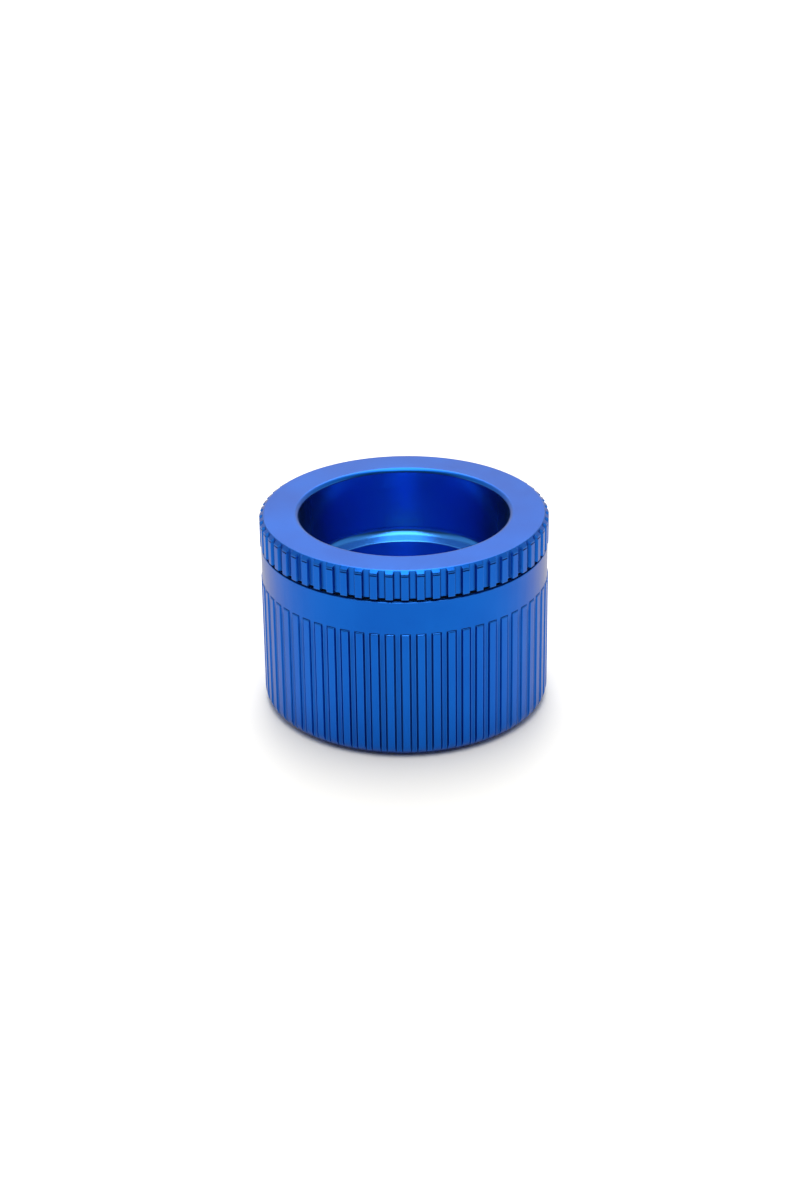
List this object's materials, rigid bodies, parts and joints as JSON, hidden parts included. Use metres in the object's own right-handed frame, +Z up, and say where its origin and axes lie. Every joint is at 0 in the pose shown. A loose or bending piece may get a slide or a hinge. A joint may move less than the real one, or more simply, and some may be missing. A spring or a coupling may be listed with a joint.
{
  "type": "screw pill crusher",
  "caption": "Round screw-type pill crusher: a fluted metal cup with a hollow knurled press head that screws down and crushes tablets between ridged discs.",
  "frame": {"origin": "centre of the foot of the cup, on the surface it stands on", "axes": "+Z up along the screw axis, towards the open recess of the head; the object looks the same from every side"},
  "size_m": [0.05, 0.05, 0.035],
  "materials": {
    "blue_anodised": "satin blue anodised",
    "slip_polymer": "matte",
    "seal_rubber": "matte",
    "disc_steel": "turned",
    "fastener_steel": "satin"
  },
  "bodies": {
    "cup": {"body": "blue_anodised", "anvil_disc": "disc_steel", "anvil_screw": "fastener_steel", "anvil_lock_washer": "fastener_steel", "anvil_dowel_pins": "fastener_steel"},
    "riser": {"slip_ring": "slip_polymer"},
    "head": {"press_head": "blue_anodised", "plunger_oring": "seal_rubber", "crusher_disc": "disc_steel", "crusher_screw": "fastener_steel", "crusher_lock_washer": "fastener_steel", "crusher_dowel_pins": "fastener_steel"}
  },
  "joints": [
    {"name": "head_rise", "type": "slide", "parent": "cup", "child": "riser", "axis": [0, 0, 1], "range_m": [0, 0.0226]},
    {"name": "head_turn", "type": "hinge", "parent": "riser", "child": "head", "pos_m": [0, 0, 0], "axis": [0, 0, 1], "range_deg": [0, 1350]}
  ],
  "couplings": [
    {"joint": "head_rise", "follows": "head_turn", "m_per_rad": 0.00095493}
  ]
}
